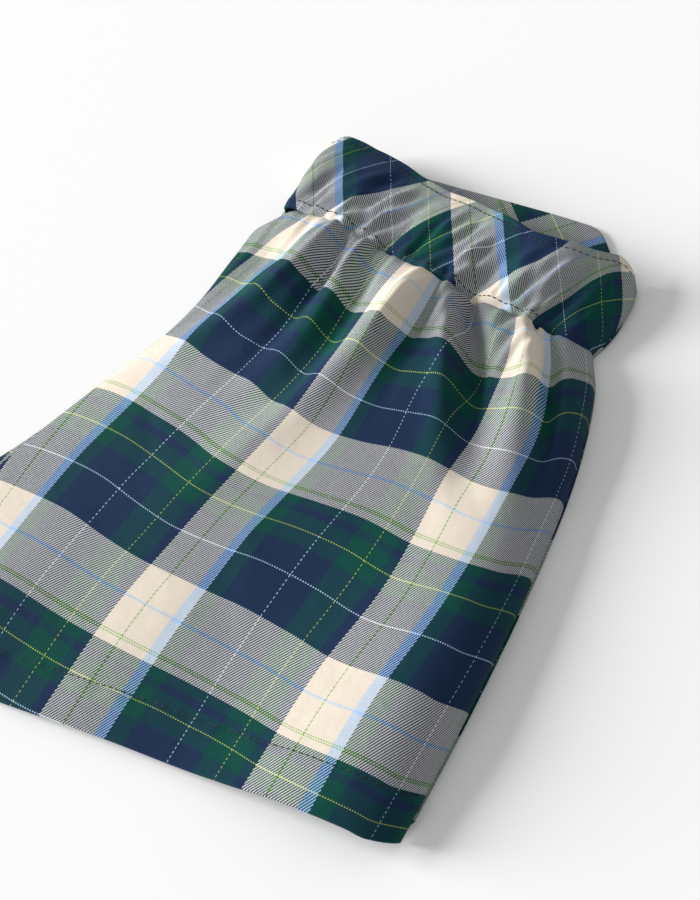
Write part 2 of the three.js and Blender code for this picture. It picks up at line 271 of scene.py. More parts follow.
WEFT_PLACES = (
    PlaidRow(0, (1.116, 1.120, 1.103, 1.079, 1.060, 1.049, 1.055, 1.067, 1.085, 1.144, 1.215)),
    PlaidRow(0.12, (1.457, 1.441, 1.389, 1.372, 1.342, 1.314, 1.347, 1.350, 1.308, 1.388, 1.505)),
    PlaidRow(0.25, (1.840, 1.766, 1.699, 1.690, 1.649, 1.628, 1.639, 1.676, 1.659, 1.668, 1.794)),
    PlaidRow(0.4, (2.275, 2.238, 2.185, 2.146, 2.075, 2.040, 2.060, 2.107, 2.107, 2.087, 2.183)),
    PlaidRow(0.6, (2.818, 2.805, 2.779, 2.724, 2.673, 2.667, 2.677, 2.659, 2.616, 2.634, 2.649)),
    PlaidRow(0.8, (3.377, 3.351, 3.334, 3.298, 3.262, 3.227, 3.201, 3.165, 3.117, 3.120, 3.102)),
    PlaidRow(1, (3.926, 3.908, 3.876, 3.834, 3.790, 3.772, 3.762, 3.733, 3.669, 3.643, 3.639)),
)
PLAID_COLUMNS = tuple(share / 5 for share in range(-5, 6))

# The plaid's place at the drawing's zero on the back, in repeats.
PlaidStart = namedtuple("PlaidStart", "warp weft")
BACK_START = PlaidStart(2.36, 0.47)

# The band is cut on the bias, so both yarns slant: their places at the drawing's zero, in repeats,
# and how much a millimetre along x or y adds.
Slant = namedtuple("Slant", "start by_x by_y")
BAND_WARP, BAND_WEFT = Slant(1.078, 0.01195, 0.00738), Slant(0.300, 0.0107, -0.0086)
INSIDE_WARP, INSIDE_WEFT = Slant(0.91, 0.0082, -0.0082), Slant(0.146, 0.0082, 0.0082)

# How far the band's plaid has slipped along the weft, across the front.
Slip = namedtuple("Slip", "across weft")
BAND_SLIPS = (
    Slip(-1.0, 0.0),
    Slip(-0.6, 0.08),
    Slip(-0.3, 0.0),
    Slip(0.0, 0.03),
    Slip(0.4, -0.04),
    Slip(0.6, -0.08),
    Slip(0.85, 0.1),
    Slip(1.0, 0.1),
)

# --- Plaid: the threads of one repeat, and the first thread of each stripe ---

WARP_THREADS = 306
WEFT_THREADS = 180
Stripe = namedtuple("Stripe", "first yarn")
WARP_STRIPES = (
    Stripe(0, "cream"),
    Stripe(35, "lime"),
    Stripe(37, "cream"),
    Stripe(81, "blue"),
    Stripe(97, "green"),
    Stripe(124, "navy"),
    Stripe(190, "white"),
    Stripe(191, "navy"),
    Stripe(230, "green"),
    Stripe(262, "yellow"),
    Stripe(263, "green"),
    Stripe(290, "navy"),
)
WEFT_STRIPES = (
    Stripe(0, "cream"),
    Stripe(31, "blue"),
    Stripe(33, "cream"),
    Stripe(62, "lime"),
    Stripe(63, "cream"),
    Stripe(64, "lime"),
    Stripe(65, "cream"),
    Stripe(72, "green"),
    Stripe(81, "navy"),
    Stripe(88, "green"),
    Stripe(102, "yellow"),
    Stripe(103, "green"),
    Stripe(117, "navy"),
    Stripe(141, "white"),
    Stripe(142, "navy"),
)


def linear(red, green, blue):
    """A display colour, 0 to 255, as the shader's linear colour."""
    shares = (c / 255 for c in (red, green, blue))
    return tuple(s / 12.92 if s <= 0.04045 else ((s + 0.055) / 1.055) ** 2.4 for s in shares)


def length_setting(name, description, default):
    return bpy.props.FloatProperty(
        name=name, description=description, default=default, min=0, unit="LENGTH", precision=5
    )


def colour_setting(name, description, *display):
    return bpy.props.FloatVectorProperty(
        name=name,
        description=description,
        default=linear(*display),
        subtype="COLOR",
        size=3,
        min=0,
        max=1,
    )


class SkortSizes(bpy.types.PropertyGroup):
    """Sizes that a user would change."""

    skirt_cloth: length_setting("Skirt cloth", "Thickness of the skirt's cloth", 0.0009)
    hem_cloth: length_setting("Hem cloth", "Thickness of the turned-up hem", 0.0013)
    band_cloth: length_setting("Band cloth", "Thickness of the waistband with its elastic", 0.0024)
    shorts_cloth: length_setting("Shorts cloth", "Thickness of the inner shorts' cloth", 0.001)
    hem_depth: length_setting("Hem depth", "From the hem's fold up to its stitching", 0.0192)
    warp_repeat: length_setting("Warp repeat", "The plaid's repeat across the cloth", 0.086)
    weft_repeat: length_setting("Weft repeat", "The plaid's repeat along the cloth", 0.092)
    stitch: length_setting("Stitch", "Length of one stitch with its gap", 0.003)
    thread: length_setting("Thread", "Thickness of the sewing thread", 0.00045)


class SkortColours(bpy.types.PropertyGroup):
    """Colours of the yarns, threads and floor."""

    cream: colour_setting("Cream", "Cream yarn", 229, 219, 204)
    blue: colour_setting("Light blue", "Light blue yarn", 176, 206, 244)
    green: colour_setting("Green", "Dark green yarn", 0, 77, 65)
    navy: colour_setting("Navy", "Navy yarn", 27, 50, 80)
    lime: colour_setting("Lime", "Lime yarn", 138, 180, 52)
    yellow: colour_setting("Yellow", "Yellow yarn", 186, 200, 84)
    white: colour_setting("White", "White yarn", 196, 212, 232)
    shorts: colour_setting("Shorts", "Inner shorts", 30, 42, 84)
    thread: colour_setting("Thread", "Sewing thread", 34, 32, 42)
    floor: colour_setting("Floor", "Floor under the skort", 237, 237, 237)


# --- Curves through the tables ---


def smooth_step(start, end, value):
    share = np.clip((value - start) / (end - start), 0, 1)
    return share * share * (3 - 2 * share)


def mix(low, high, share):
    return low + (high - low) * share


def curve(keys, values, at):
    """A smooth curve through values at keys, read at one or many places."""
    keys, values = np.array(keys, float), np.array(values, float)
    at = np.clip(at, keys[0], keys[-1])
    span = np.clip(np.searchsorted(keys, at) - 1, 0, len(keys) - 2)
    before = np.maximum(np.arange(len(keys)) - 1, 0)
    after = np.minimum(np.arange(len(keys)) + 1, len(keys) - 1)
    slope = (values[after] - values[before]) / (keys[after] - keys[before])
    length = keys[span + 1] - keys[span]
    u = (at - keys[span]) / length
    return (
        mix(values[span], values[span + 1], u * u * (3 - 2 * u))
        + u * (1 - u) ** 2 * length * slope[span]
        + u * u * (u - 1) * length * slope[span + 1]
    )


def follow(rows, key, column, at):
    return curve([getattr(r, key) for r in rows], [getattr(r, column) for r in rows], at)


def edge(column, across):
    return follow(EDGES, "across", column, across)


def across_to_x(sections, left_column, across, down):
    left = follow(sections, "down", left_column, down)
    right = follow(sections, "down", "right", down)
    return (left + right) / 2 + across * (right - left) / 2


def side_fall(across):
    """The height of a rounded side: full in the middle of a panel, nothing at its edge."""
    return (1 - np.minimum(np.abs(across), 1) ** SIDE_ROUNDNESS) ** (1 / SIDE_ROUNDNESS)


def band_fall(across):
    """The band's side_fall. Its left end is folded more squarely."""
    square = (1 - np.minimum(np.abs(across), 1) ** BAND_SQUARENESS) ** (1 / BAND_SQUARENESS)
    return np.where(across < 0, square, side_fall(across))


def left_end(across):
    """How much a place belongs to a panel's left end."""
    return smooth_step(LEFT_END_STARTS, -1, across)


def skirt_fall(across, down):
    """The skirt's side_fall. Below the waist its left half slopes down more gently."""
    slope = (1 - np.minimum(np.abs(across), 1) ** LEFT_ROUNDNESS) ** LEFT_STEEPNESS
    share = smooth_step(0, LEFT_GROWN_BY, down) * (across < 0)
    return mix(side_fall(across), slope, share)


def bump(distance, width):
    return np.exp(-((distance / width) ** 2))


def rippled(x, y, down, ripple):
    """A calm uneven wave, the same on every run."""
    height, length, seed, start, end = ripple
    turn = seed * 1.7
    wave = (
        np.sin(x / length + turn + 0.7 * np.sin(y / length * 0.61 + seed))
        + 0.6 * np.sin(0.63 * x / length - 0.83 * y / length + 2.1 * turn)
        + 0.4 * np.sin(1.47 * y / length + 0.4 * x / length + 0.9 * turn)
    ) / 2
    return height * wave * smooth_step(start, end, down)


def gathered(x, y, down, gathers):
    """Fine uneven gathers that run up and down, the same on every run."""
    height, length, slant, start, end = gathers
    phase = (x + slant * y) / length + 1.5 * np.sin(x / 12.7) + 0.8 * np.sin(y / 9 + x / 21)
    strength = 0.55 + 0.45 * np.sin(x / 8.3 + 1.2 * np.sin(x / 23 + y / 31))
    return height * np.sin(phase) * strength * smooth_step(start, end, down)


def pulled(x, from_line, pull):
    """How deep a line of stitching pulls the cloth in, at a distance from it."""
    depth = pull.depth + pull.wave * np.sin(x / pull.wave_length)
    return depth * bump(from_line, pull.width)


def creases(rows, x, y):
    """Height of all the creases of a table at points in plan."""
    height = np.zeros_like(x)
    for crease in rows:
        start = np.array((crease.x0, crease.y0))
        run = np.array((crease.x1, crease.y1)) - start
        share = ((x - start[0]) * run[0] + (y - start[1]) * run[1]) / (run @ run)
        near = np.clip(share, 0, 1)
        gap = np.hypot(x - start[0] - near * run[0], y - start[1] - near * run[1])
        fade = smooth_step(-CREASE_START, CREASE_START, share)
        fade *= 1 - smooth_step(CREASE_DIES, CREASE_ENDS, share)
        height += crease.rise * fade * bump(gap, crease.width * (1 + CREASE_SPREAD * near))
    return height


def fold_height(across, down):
    """Height of the skirt's folds, which die out, and of the calm waves that follow them."""
    height = 0
    for fold in SKIRT_FOLDS:
        middle = mix(fold.start, fold.end, np.minimum(down / fold.reach, 1))
        grown = mix(FOLD_AT_SEAM, 1, smooth_step(0, FOLD_GROWN_BY, down))
        dying = 1 - smooth_step(FOLD_DIES_FROM, fold.reach, down)
        height += fold.rise * grown * dying * bump(across - middle, fold.width * (1 + down))
    waves = HEM_WAVE_RISE * np.cos(across / HEM_WAVE_LENGTH * 2 * math.pi)
    return height + waves * smooth_step(HEM_WAVE_FROM, 1, down)


# How high the sides of the front lie: this cloth's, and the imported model's a little higher, which
# the heights in the tables take off.
SKIRT_FLOOR, PACKED_SKIRT_FLOOR = 1.25, 1.5
BAND_FLOOR, PACKED_BAND_FLOOR = 2.45, 2.7
# How far the round edge stands out past the last row, at the hem and at the waist edge.
HEM_ROUND, WAIST_ROUND = 0.6, 1.2


def hem_line(across, sizes):
    """How far down the hem's stitching is."""
    length = edge("seam", across) - edge("front_hem", across)
    return 1 - sizes.hem_depth / MM / length


def skirt_front(across, down, sizes):
    """Outer face of the skirt front, from the waist seam down to the hem."""
    seam = edge("seam", across)
    hem = edge("front_hem", across) + HEM_ROUND
    y = mix(seam, hem, down)
    x = across_to_x(SKIRT_SECTIONS, "left", across, down)
    shoulder = mix(SHOULDER_IN, SHOULDER_OUT, smooth_step(0, SHOULDER_GROWN_BY, down))
    x += shoulder * (1 - smooth_step(SHOULDER_FROM, SHOULDER_END, down)) * left_end(across)

    at_waist = follow(BAND_HEIGHTS, "across", "seam", across) - SKIRT_SECTIONS[0].height
    crown = follow(SKIRT_SECTIONS, "down", "height", down)
    crown += at_waist * (1 - smooth_step(0, SEAM_LIFT_REACH, down))
    lift = follow(SKIRT_SECTIONS, "down", "right_lift", down)
    height = fold_height(across, down) + lift * bump(across - LIFT_CENTRE, LIFT_WIDTH)
    height += creases(SKIRT_CREASES, x, y)
    height += rippled(x, y, down, SKIRT_RIPPLE) + gathered(x, y, down, SKIRT_GATHERS)
    height -= GROOVE * bump(seam - y, SKIRT_GROOVE_WIDTH)

    from_stitching = y - mix(seam, hem, hem_line(across, sizes))
    height += HEM_STEP * smooth_step(HEM_STEP_WIDTH, -HEM_STEP_WIDTH, from_stitching)
    height -= pulled(x, from_stitching, HEM_PULL)
    puckered = bump(from_stitching + HEM_PUCKER_BELOW, HEM_PUCKER_WIDTH)
    height += HEM_PUCKER * np.sin(x / HEM_PUCKER_LENGTH + np.sin(x / 9)) * puckered
    height = (crown - PACKED_SKIRT_FLOOR) * skirt_fall(across, down) + height * side_fall(across)

    puff = follow(SIDE_PUFFS, "down", "rise", down) * bump(across - PUFF_MIDDLE, PUFF_WIDTH)
    puff *= side_fall(across)
    lean_x, lean_y = PUFF_LEAN
    return np.stack((x + lean_x * puff, y + lean_y * puff, SKIRT_FLOOR + height + puff), -1)


def band_front(across, down, sizes):
    """Outer face of the front waistband, from the waist edge down to the waist seam."""
    seam = edge("seam", across)
    top_edge = edge("front_top", across) - WAIST_ROUND
    y = mix(top_edge, seam, down)
    x = across_to_x(BAND_SECTIONS, "left", across, down)
    x += left_end(across) * follow(BAND_LEFT_ENDS, "down", "inward", down)

    top = follow(BAND_HEIGHTS, "across", "top", across)
    low = follow(BAND_HEIGHTS, "across", "seam", across) + fold_height(across, 0.0)
    pinches = 0
    for pucker in BAND_PUCKERS:
        middle = mix(pucker.top, pucker.seam, down)
        depth = mix(PUCKER_AT_EDGE, 1, smooth_step(0, PUCKER_GROWN_BY, down))
        pinches += pucker.rise * depth * bump(across - middle, pucker.width)
    puff = BAND_PUFF * np.sin(math.pi * down) + pinches * (1 - down**PINCH_POWER)
    height = mix(top, low, down) + puff - PACKED_BAND_FLOOR
    height += creases(BAND_CREASES, x, y)
    height += rippled(x, y, down, BAND_RIPPLE) + gathered(x, y, down, BAND_GATHERS)
    height -= GROOVE * bump(y - seam, BAND_GROOVE_WIDTH)
    height -= pulled(x, top_edge - BAND_PULL_BELOW - y, BAND_PULL)
    return np.stack((x, y, BAND_FLOOR + height * band_fall(across)), -1)


def lying_panel(sections, left_column, top, bottom, height):
    """The upper face of a panel that lies flat, as a function of across and down."""

    def face(across, down, _sizes):
        y = mix(edge(top, across), edge(bottom, across), down)
        x = across_to_x(sections, left_column, across, down)
        return np.stack((x, y, np.broadcast_to(height, x.shape)), -1)

    return face


# --- Walls of cloth ---

Wall = namedtuple("Wall", "points side_run end_run across down")
# How much closer together columns are at the sides.
CROWDING = 0.55
# Steps round the cloth's ends, and the power that keeps its thinning to its side edges.
EDGE_STEPS, SIDE_THINNING = 6, 50
# Past this place the pattern follows the cloth down its side.
SIDE_STARTS = 0.85
# How far apart two points are that tell the slope of a face.
SLOPE_STEP, STITCH_SLOPE_STEP = 1e-3, 2e-3


def columns_across(count):
    """Columns from left to right, closer together at the sides."""
    even = np.linspace(-1, 1, count + 1)
    return mix(even, np.sin(even * math.pi / 2), CROWDING)


def even_cloth(thickness):
    return lambda across, down: np.full_like(across, thickness)


def cloth_wall(face, sizes, grid, thickness, floor=0.0, flat=False):
    """Rings of points round a closed wall of cloth: its outer face, the round of its bottom edge,
    its inner face and the round of its top edge. Also each point's run past the face's sides and
    ends, which the pattern follows, and its place across and down."""
    columns, rows = grid
    across, down = np.meshgrid(columns_across(columns), np.linspace(0, 1, rows + 1))
    outer = face(across, down, sizes)
    step = SLOPE_STEP
    inside = np.clip(across, step - 1, 1 - step)
    sideways = face(inside + step, down, sizes) - face(inside - step, down, sizes)
    upper, lower = np.maximum(down - step, 0), np.minimum(down + step, 1)
    along = face(inside, upper, sizes) - face(inside, lower, sizes)
    if flat:
        sideways[..., 2] = along[..., 2] = 0
    normal = np.cross(sideways, along)
    normal /= np.linalg.norm(normal, axis=-1, keepdims=True)
    full = np.sqrt(1 - np.abs(across) ** SIDE_THINNING)
    thick = thickness(across, down) * full
    if flat:
        outer[..., 2] -= thickness(across, down) * (1 - full) / 2
    inner = outer - normal * thick[..., None]
    if not flat:
        inner[..., 2] = np.minimum(np.maximum(inner[..., 2], floor), outer[..., 2])
    run = np.linalg.norm(np.diff(outer, axis=1), axis=-1) - np.abs(np.diff(outer[..., 0], axis=1))
    run = np.where(np.abs(across[:, 1:] + across[:, :-1]) > 2 * SIDE_STARTS, run, 0)
    run = np.concatenate((np.zeros((rows + 1, 1)), np.cumsum(run, axis=1)), axis=1)
    run -= run[:, columns // 2, None]

    def rounded(row, outward):
        """The round edge at the first or last row, and its run."""
        rims, runs = [], []
        middle = (outer[row] + inner[row]) / 2
        out = (outer[row] - inner[row]) / 2
        radius = np.linalg.norm(out, axis=-1)
        for turn in np.arange(1, EDGE_STEPS) * math.pi / EDGE_STEPS:
            away = np.array((0, outward, 0)) * radius[:, None]
            rims.append(middle + out * math.cos(turn) + away * math.sin(turn))
            runs.append(radius * min(turn, math.pi - turn))
        return np.array(rims), np.array(runs)

    bottom, bottom_run = rounded(-1, -1)
    top, top_run = rounded(0, 1)
    points = np.concatenate((outer, bottom, inner[::-1], top[::-1]))
    bottom_side, top_side = (np.repeat(run[[row]], EDGE_STEPS - 1, axis=0) for row in (-1, 0))
    side_run = np.concatenate((run, bottom_side, run[::-1], top_side))
    no_run = np.zeros_like(down)
    end_run = np.concatenate((no_run, bottom_run, no_run, -top_run[::-1]))
    all_across = np.broadcast_to(across[0], points.shape[:2])
    all_down = np.concatenate((down, np.ones_like(bottom_run), down[::-1], np.zeros_like(top_run)))
    return Wall(points, side_run, end_run, all_across, all_down)


# Points of a mesh that are nearer than this, in metres, are one.
MERGE_GAP = 0.00001
SMOOTH_ANGLE = math.radians(60)


def cloth_object(name, wall, pattern, material):
    """A closed mesh from a wall's rings, with the plaid's place on it as its UV map."""
    rings, columns = wall.points.shape[:2]
    points = wall.points.reshape(-1, 3) - np.array((*BOX_CENTRE, 0))
    at = np.arange(rings * columns).reshape(rings, columns)
    below = np.roll(at, -1, axis=0)
    faces = np.stack((at[:, :-1], below[:, :-1], below[:, 1:], at[:, 1:]), -1).reshape(-1, 4)
    mesh = bpy.data.meshes.new(name)
    mesh.from_pydata((points * MM).tolist(), [], faces.tolist())
    layer = mesh.uv_layers.new(name="Cloth")
    places = pattern.reshape(-1, 2)[faces.reshape(-1)]
    layer.data.foreach_set("uv", places.astype(np.float32).ravel())
    mesh.materials.append(material)
    piece = add_object(name, mesh)
    select_only(piece)
    bpy.ops.object.mode_set(mode="EDIT")
    bpy.ops.mesh.select_all(action="SELECT")
    bpy.ops.mesh.remove_doubles(threshold=MERGE_GAP)
    bpy.ops.mesh.normals_make_consistent(inside=False)
    bpy.ops.object.mode_set(mode="OBJECT")
    bpy.ops.object.shade_smooth_by_angle(angle=SMOOTH_ANGLE)
    return piece


def add_object(name, data):
    made = bpy.data.objects.new(name, data)
    bpy.context.scene.collection.objects.link(made)
    return made


def select_only(piece):
    bpy.ops.object.select_all(action="DESELECT")
    piece.select_set(True)
    bpy.context.view_layer.objects.active = piece


def place_on_body(piece):
    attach(piece, "root")


def make_cloth(node, wall, plaid, sizes, material):
    """The finer cloth that takes the place of a solid."""
    piece = cloth_object(f"{node}_cloth", wall, plaid(wall, sizes), material)
    place_on_body(piece)
    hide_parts(node)
    return piece


# --- Where the plaid lies ---


def plaid_place(rows, across, down):
    """A table's plaid place at many points."""
    downs = [row.down for row in rows]
    place = np.zeros_like(across)
    for column, weights in enumerate(np.eye(len(PLAID_COLUMNS))):
        values = curve(downs, [row.places[column] for row in rows], down)
        place += curve(PLAID_COLUMNS, weights, across) * values
    return place


def front_plaid(wall, sizes):
    """The warp and weft at each point of the skirt front, in repeats, like the next three."""
    warp = plaid_place(WARP_PLACES, wall.across, wall.down)
    weft = plaid_place(WEFT_PLACES, wall.across, wall.down)
    warp += wall.side_run * MM / sizes.warp_repeat
    weft += wall.end_run * MM / sizes.weft_repeat
    return np.stack((warp, weft), -1)


def back_plaid(wall, sizes):
    x, y = wall.points[..., 0], wall.points[..., 1]
    warp = BACK_START.warp + (x + wall.side_run) * MM / sizes.warp_repeat
    weft = BACK_START.weft - y * MM / sizes.weft_repeat
    return np.stack((warp, weft), -1)


def slanted(slant, x, y):
    return slant.start + slant.by_x * x + slant.by_y * y


def bias_plaid(wall, _sizes):
    x, y = wall.points[..., 0] + wall.side_run, wall.points[..., 1]
    slip = follow(BAND_SLIPS, "across", "weft", wall.across)
    return np.stack((slanted(BAND_WARP, x, y), slanted(BAND_WEFT, x, y) + slip), -1)


def inside_bias_plaid(wall, _sizes):
    x, y = wall.points[..., 0], wall.points[..., 1]
    return np.stack((slanted(INSIDE_WARP, x, y), slanted(INSIDE_WEFT, x, y)), -1)


def no_plaid(wall, _sizes):
    return np.stack((wall.across, wall.down), -1)


# --- Shader maths ---


class Level:
    """A socket that carries one number, used in plain arithmetic."""

    def __init__(self, nodes, socket):
        self.nodes, self.socket = nodes, socket

    def math(self, operation, *values):
        made = self.nodes.add("ShaderNodeMath", {"operation": operation}, dict(enumerate(values)))
        return Level(self.nodes, made.outputs[0])

    def __add__(self, other):
        return self.math("ADD", self, other)

    def __sub__(self, other):
        return self.math("SUBTRACT", self, other)

    def __mul__(self, other):
        return self.math("MULTIPLY", self, other)

    def __lt__(self, other):
        return self.math("LESS_THAN", self, other)

    def __radd__(self, other):
        return self.math("ADD", other, self)

    def __rsub__(self, other):
        return self.math("SUBTRACT", other, self)

    def __rmul__(self, other):
        return self.math("MULTIPLY", other, self)

    def floor(self):
        return self.math("FLOOR", self)

    def fraction(self):
        return self.math("FRACT", self)

    def sine(self):
        return self.math("SINE", self)


class Nodes:
    """The nodes of one material."""

    def __init__(self, material):
        material.use_nodes = True
        self.tree = material.node_tree
        self.tree.nodes.clear()

    def add(self, kind, settings, inputs):
        """A node of a type, with its settings, and values or links at its sockets."""
        node = self.tree.nodes.new(kind)
        for name, value in settings.items():
            if name == "stops":
                ramp = node.color_ramp
                while len(ramp.elements) < len(value):
                    ramp.elements.new(1.0)
                for element, (start, colour) in zip(ramp.elements, value):
                    element.position = start
                    element.color = (*colour, 1)
            elif name == "interpolation":
                node.color_ramp.interpolation = value
            else:
                setattr(node, name, value)
        for name, value in inputs.items():
            socket = node.inputs[name]
            if isinstance(value, Level):
                value = value.socket
            if isinstance(value, bpy.types.NodeSocket):
                self.tree.links.new(value, socket)
            else:
                socket.default_value = value
        return node

    def blend(self, share, low, high):
        """Two colours mixed."""
        inputs = {0: share, 6: low, 7: high}
        return self.add("ShaderNodeMix", {"data_type": "RGBA"}, inputs).outputs[2]

    def vector(self, operation, inputs):
        """Vector maths on colours."""
        return self.add("ShaderNodeVectorMath", {"operation": operation}, inputs).outputs[0]

    def scaled(self, colour, share):
        return self.vector("SCALE", {0: colour, "Scale": share})

    def woven_with_gap_shade(self, over, under):
        """The colour of a thread that lies over another, with painted shade in the gaps beside it,
        where the thread underneath partly shows through.
        """
        undimmed = tuple(1 - d for d in GAP_SHADE_DIMMING)
        dimming = self.vector("MULTIPLY_ADD", {0: under, 1: GAP_SHADE_DIMMING, 2: undimmed})
        dimmed = self.vector("MULTIPLY", {0: over, 1: dimming})
        taken = self.vector("MULTIPLY", {0: under, 1: GAP_SHADE_TAKEN})
        left = self.vector("SUBTRACT", {0: dimmed, 1: taken})
        return self.vector("MAXIMUM", {0: left, 1: (0.0, 0.0, 0.0)})

    def noise(self, scale, detail=3.0):
        """Smooth noise with about this many lumps in a metre."""
        place = self.add("ShaderNodeTexCoord", {}, {}).outputs["Object"]
        inputs = {"Vector": place, "Scale": scale, "Detail": detail}
        return Level(self, self.add("ShaderNodeTexNoise", {}, inputs).outputs["Fac"])

    def surface(self, inputs):
        """The shader and the material's output."""
        shader = self.add("ShaderNodeBsdfPrincipled", {}, inputs)
        self.add("ShaderNodeOutputMaterial", {}, {"Surface": shader.outputs[0]})

    def cloth_surface(self, colour, height, depth, roughness, sheen):
        relief = self.add("ShaderNodeBump", {}, {"Height": height, "Distance": depth})
        self.surface(
            {
                "Base Color": colour,
                "Roughness": roughness,
                "Normal": relief.outputs[0],
                "Sheen Weight": sheen,
                "Sheen Roughness": 0.4,
                "Specular IOR Level": 0.12,
            }
        )


# Lumps in a metre: clouds over the cloth, wrinkles in it and its loose fibres.
CLOUDS, WRINKLES, FIBRES = 38.0, 120.0, 1400.0
PLAIN_CLOUDS, PLAIN_FIBRES = 60.0, 1600.0
# How deep a height of 1 is in the relief, in metres.
TWILL_DEPTH, PLAIN_DEPTH = 0.00025, 0.0002
# A thread runs over two others and under two. A share of its height stays where it goes under.
OVER_AND_UNDER, FLATNESS = 4, 0.4
# A colour ramp is looked up in this many steps.
RAMP_STEPS = 256
# Painted shade in the gaps between threads, in red, green and blue, set by the thread underneath:
# how much a dark one dims the one on top, and how much a light one takes from it. Part of the
# dimming is the under thread's own colour showing at the gaps.
GAP_SHADE_DIMMING = (0.36, 0.27, 0.14)
GAP_SHADE_TAKEN = (0.003, 0.025, 0.055)


def stripe_colours(nodes, thread, count, stripes, colours):
    """The colour of a thread, by its number."""
    share = ((thread + 0.5) * (1 / count)).fraction()
    stops = []
    for stripe in stripes:
        step = math.floor((stripe.first + 0.5) / count * RAMP_STEPS)
        stops.append((step / RAMP_STEPS, getattr(colours, stripe.yarn)))
    settings = {"interpolation": "CONSTANT", "stops": stops}
    return nodes.add("ShaderNodeValToRGB", settings, {0: share}).outputs[0]


def plaid_material(name, colours):
    """Yarn-dyed twill: two threads over and two under, each thread in its stripe's colour, with
    painted shade at the threads' edges and in the gaps between them.
    """
    material = bpy.data.materials.new(name)
    nodes = Nodes(material)
    place = nodes.add("ShaderNodeUVMap", {"uv_map": "Cloth"}, {}).outputs[0]
    split = nodes.add("ShaderNodeSeparateXYZ", {}, {0: place})
    warp_at = Level(nodes, split.outputs[0]) * WARP_THREADS
    weft_at = Level(nodes, split.outputs[1]) * WEFT_THREADS
    warp_thread, weft_thread = warp_at.floor(), weft_at.floor()
    warp_over = ((warp_thread + weft_thread + 0.5) * (1 / OVER_AND_UNDER)).fraction() < 0.5

    warp_colour = stripe_colours(nodes, warp_thread, WARP_THREADS, WARP_STRIPES, colours)
    weft_colour = stripe_colours(nodes, weft_thread, WEFT_THREADS, WEFT_STRIPES, colours)
    over = nodes.blend(warp_over, weft_colour, warp_colour)
    under = nodes.blend(warp_over, warp_colour, weft_colour)
    # The thread on top, darkened by painted shade in the gaps beside it.
    colour = nodes.woven_with_gap_shade(over, under)

    arch = 2 * math.pi / OVER_AND_UNDER
    warp_arch = (arch * (warp_thread + weft_at)).sine()
    weft_arch = (arch * (warp_at + weft_thread) + math.pi).sine()
    warp_round = (math.pi * warp_at.fraction()).sine() * mix(FLATNESS, 1, warp_arch)
    weft_round = (math.pi * weft_at.fraction()).sine() * mix(FLATNESS, 1, weft_arch)
    height = weft_round + (warp_round - weft_round) * warp_over

    cloudy, fibres = nodes.noise(CLOUDS), nodes.noise(FIBRES, 2.0)
    wrinkle = nodes.noise(WRINKLES, 4.0)
    # Painted shade: the threads' rounded height darkens the colour at their edges and where they
    # dip under. The clouds and the fibres give the yarn uneven tone.
    colour = nodes.scaled(colour, 0.72 + 0.2 * height + 0.12 * cloudy + 0.16 * fibres)
    relief = height * 0.35 + wrinkle * 2.4 + cloudy * 3.0
    nodes.cloth_surface(colour, relief, TWILL_DEPTH, 0.78 + 0.14 * fibres, 0.02)
    return material


def plain_material(name, colour, roughness=0.85):
    """Plain cloth or thread with a fine grain."""
    material = bpy.data.materials.new(name)
    nodes = Nodes(material)
    fibres, cloudy = nodes.noise(PLAIN_FIBRES), nodes.noise(PLAIN_CLOUDS)
    darker = (*[c * 0.8 for c in colour], 1)
    shade = nodes.scaled(nodes.blend(cloudy, (*colour, 1), darker), 0.8 + 0.4 * fibres)
    rough = roughness - 0.1 + 0.2 * fibres
    nodes.cloth_surface(shade, fibres + cloudy * 3, PLAIN_DEPTH, rough, 0.15)
    return material


def floor_material(name, colour):
    material = bpy.data.materials.new(name)
    finish = {"Base Color": (*colour, 1), "Roughness": 0.9, "Specular IOR Level": 0.1}
    Nodes(material).surface(finish)
    return material


def finished(name, make, *values):
    """The material of that name, made once."""
    return bpy.data.materials.get(name) or make(name, *values)


# --- Pieces ---

# Columns and rows of each cloth.
SKIRT_FRONT_GRID, SKIRT_BACK_GRID = (240, 170), (120, 80)
BAND_FRONT_GRID, BAND_BACK_GRID = (240, 44), (120, 30)
SHORTS_GRID = (24, 30)
# The hem's cloth gets thicker within this share of the panel's length, both ways.
HEM_BLEND = 0.003


class SKORT_OT_skirt(bpy.types.Operator):
    """Makes the skirt's front and back panels"""

    bl_idname = "skort.skirt"
    bl_label = "Skirt"

    def execute(self, context):
        sizes, colours = context.scene.skort_sizes, context.scene.skort_colours
        twill = finished("plaid twill", plaid_material, colours)

        def thickness(across, down):
            turned_up = smooth_step(-HEM_BLEND, HEM_BLEND, down - hem_line(across, sizes))
            return mix(sizes.skirt_cloth, sizes.hem_cloth, turned_up) / MM

        upper = cloth_wall(skirt_front, sizes, SKIRT_FRONT_GRID, thickness, SKIRT_FLOOR)
        front = make_cloth("skirt_front", upper, front_plaid, sizes, twill)
        panel = lying_panel(SKIRT_SECTIONS, "back_left", "seam", "back_hem", SKIRT_BACK_TOP)
        lower = cloth_wall(panel, sizes, SKIRT_BACK_GRID, even_cloth(BACK_CLOTH), flat=True)
        back = make_cloth("skirt_back", lower, back_plaid, sizes, twill)
        return {"FINISHED"}


